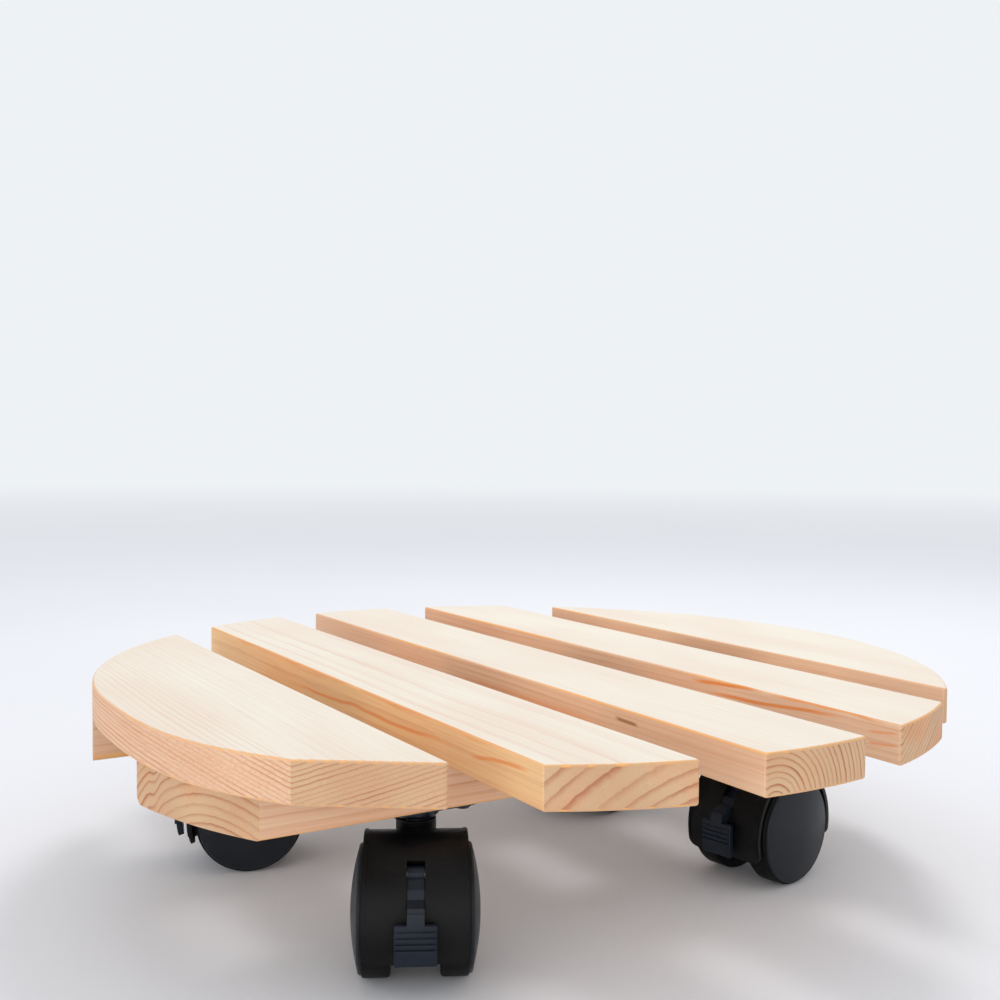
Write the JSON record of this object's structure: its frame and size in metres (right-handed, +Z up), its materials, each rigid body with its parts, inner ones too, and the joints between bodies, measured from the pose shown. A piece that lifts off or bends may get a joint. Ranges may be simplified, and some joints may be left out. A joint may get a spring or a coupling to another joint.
{
  "type": "plant pot caddy",
  "caption": "Round slatted pine plant caddy: gapped slats screwed to cross battens, rolling on swivelling twin-wheel casters with foot brakes.",
  "frame": {"origin": "floor level under the centre of the deck", "axes": "+X along the slats towards the front battened end, +Y to the left across the slats, +Z up from the floor to the deck"},
  "size_m": [0.4, 0.4, 0.097],
  "materials": {
    "pine": "sanded, unvarnished",
    "hood_plastic": "satin moulded",
    "wheel_plastic": "matt moulded",
    "cap_plastic": "fine satin texture",
    "lever_plastic": "satin moulded, ribbed",
    "steel": "zinc plated",
    "black_steel": "black zinc plated"
  },
  "bodies": {
    "deck": {"slat_right_outer": "pine", "slat_right_inner": "pine", "slat_centre": "pine", "slat_left_inner": "pine", "slat_left_outer": "pine", "batten_front": "pine", "batten_rear": "pine", "deck_screws": "steel", "plate_screws": "black_steel", "front_right_top_plate": "black_steel", "front_right_king_pin": "steel", "front_right_king_pin_clip": "steel", "front_left_top_plate": "black_steel", "front_left_king_pin": "steel", "front_left_king_pin_clip": "steel", "rear_right_top_plate": "black_steel", "rear_right_king_pin": "steel", "rear_right_king_pin_clip": "steel", "rear_left_top_plate": "black_steel", "rear_left_king_pin": "steel", "rear_left_king_pin_clip": "steel"},
    "front_right_swivel": {"front_right_hood": "hood_plastic", "front_right_axle": "steel", "front_right_brake_pin": "steel", "front_right_thrust_washer": "black_steel"},
    "front_right_wheel_left": {"front_right_wheel_left": "wheel_plastic", "front_right_cap_left": "cap_plastic"},
    "front_right_wheel_right": {"front_right_wheel_right": "wheel_plastic", "front_right_cap_right": "cap_plastic"},
    "front_right_brake": {"front_right_brake_lever": "lever_plastic"},
    "front_left_swivel": {"front_left_hood": "hood_plastic", "front_left_axle": "steel", "front_left_brake_pin": "steel", "front_left_thrust_washer": "black_steel"},
    "front_left_wheel_left": {"front_left_wheel_left": "wheel_plastic", "front_left_cap_left": "cap_plastic"},
    "front_left_wheel_right": {"front_left_wheel_right": "wheel_plastic", "front_left_cap_right": "cap_plastic"},
    "front_left_brake": {"front_left_brake_lever": "lever_plastic"},
    "rear_right_swivel": {"rear_right_hood": "hood_plastic", "rear_right_axle": "steel", "rear_right_brake_pin": "steel", "rear_right_thrust_washer": "black_steel"},
    "rear_right_wheel_left": {"rear_right_wheel_left": "wheel_plastic", "rear_right_cap_left": "cap_plastic"},
    "rear_right_wheel_right": {"rear_right_wheel_right": "wheel_plastic", "rear_right_cap_right": "cap_plastic"},
    "rear_right_brake": {"rear_right_brake_lever": "lever_plastic"},
    "rear_left_swivel": {"rear_left_hood": "hood_plastic", "rear_left_axle": "steel", "rear_left_brake_pin": "steel", "rear_left_thrust_washer": "black_steel"},
    "rear_left_wheel_left": {"rear_left_wheel_left": "wheel_plastic", "rear_left_cap_left": "cap_plastic"},
    "rear_left_wheel_right": {"rear_left_wheel_right": "wheel_plastic", "rear_left_cap_right": "cap_plastic"},
    "rear_left_brake": {"rear_left_brake_lever": "lever_plastic"}
  },
  "joints": [
    {"name": "front_right_swivel", "type": "hinge", "parent": "deck", "child": "front_right_swivel", "pos_m": [0.0784, -0.0973, 0.0543], "axis": [0, 0, 1], "continuous": true},
    {"name": "front_right_left_roll", "type": "hinge", "parent": "front_right_swivel", "child": "front_right_wheel_left", "pos_m": [0.09614, -0.10654, 0.025], "axis": [0.4617, 0.887, 0], "continuous": true},
    {"name": "front_right_right_roll", "type": "hinge", "parent": "front_right_swivel", "child": "front_right_wheel_right", "pos_m": [0.09614, -0.10654, 0.025], "axis": [0.4617, 0.887, 0], "continuous": true},
    {"name": "front_right_brake_lift", "type": "hinge", "parent": "front_right_swivel", "child": "front_right_brake", "pos_m": [0.10954, -0.11351, 0.043], "axis": [-0.4617, -0.887, 0], "range_deg": [0, 18]},
    {"name": "front_left_swivel", "type": "hinge", "parent": "deck", "child": "front_left_swivel", "pos_m": [0.0795, 0.104, 0.0543], "axis": [0, 0, 1], "continuous": true},
    {"name": "front_left_left_roll", "type": "hinge", "parent": "front_left_swivel", "child": "front_left_wheel_left", "pos_m": [0.08332, 0.08437, 0.025], "axis": [0.9816, 0.1908, 0], "continuous": true},
    {"name": "front_left_right_roll", "type": "hinge", "parent": "front_left_swivel", "child": "front_left_wheel_right", "pos_m": [0.08332, 0.08437, 0.025], "axis": [0.9816, 0.1908, 0], "continuous": true},
    {"name": "front_left_brake_lift", "type": "hinge", "parent": "front_left_swivel", "child": "front_left_brake", "pos_m": [0.0862, 0.06954, 0.043], "axis": [-0.9816, -0.1908, 0], "range_deg": [0, 18]},
    {"name": "rear_right_swivel", "type": "hinge", "parent": "deck", "child": "rear_right_swivel", "pos_m": [-0.052, -0.0997, 0.0543], "axis": [0, 0, 1], "continuous": true},
    {"name": "rear_right_left_roll", "type": "hinge", "parent": "rear_right_swivel", "child": "rear_right_wheel_left", "pos_m": [-0.05751, -0.11893, 0.025], "axis": [0.9613, -0.2756, 0], "continuous": true},
    {"name": "rear_right_right_roll", "type": "hinge", "parent": "rear_right_swivel", "child": "rear_right_wheel_right", "pos_m": [-0.05751, -0.11893, 0.025], "axis": [0.9613, -0.2756, 0], "continuous": true},
    {"name": "rear_right_brake_lift", "type": "hinge", "parent": "rear_right_swivel", "child": "rear_right_brake", "pos_m": [-0.06168, -0.13345, 0.043], "axis": [-0.9613, 0.2756, 0], "range_deg": [0, 18]},
    {"name": "rear_left_swivel", "type": "hinge", "parent": "deck", "child": "rear_left_swivel", "pos_m": [-0.052, 0.096, 0.0543], "axis": [0, 0, 1], "continuous": true},
    {"name": "rear_left_left_roll", "type": "hinge", "parent": "rear_left_swivel", "child": "rear_left_wheel_left", "pos_m": [-0.04516, 0.07721, 0.025], "axis": [0.9397, 0.342, 0], "continuous": true},
    {"name": "rear_left_right_roll", "type": "hinge", "parent": "rear_left_swivel", "child": "rear_left_wheel_right", "pos_m": [-0.04516, 0.07721, 0.025], "axis": [0.9397, 0.342, 0], "continuous": true},
    {"name": "rear_left_brake_lift", "type": "hinge", "parent": "rear_left_swivel", "child": "rear_left_brake", "pos_m": [-0.03999, 0.06301, 0.043], "axis": [-0.9397, -0.342, 0], "range_deg": [0, 18]}
  ]
}
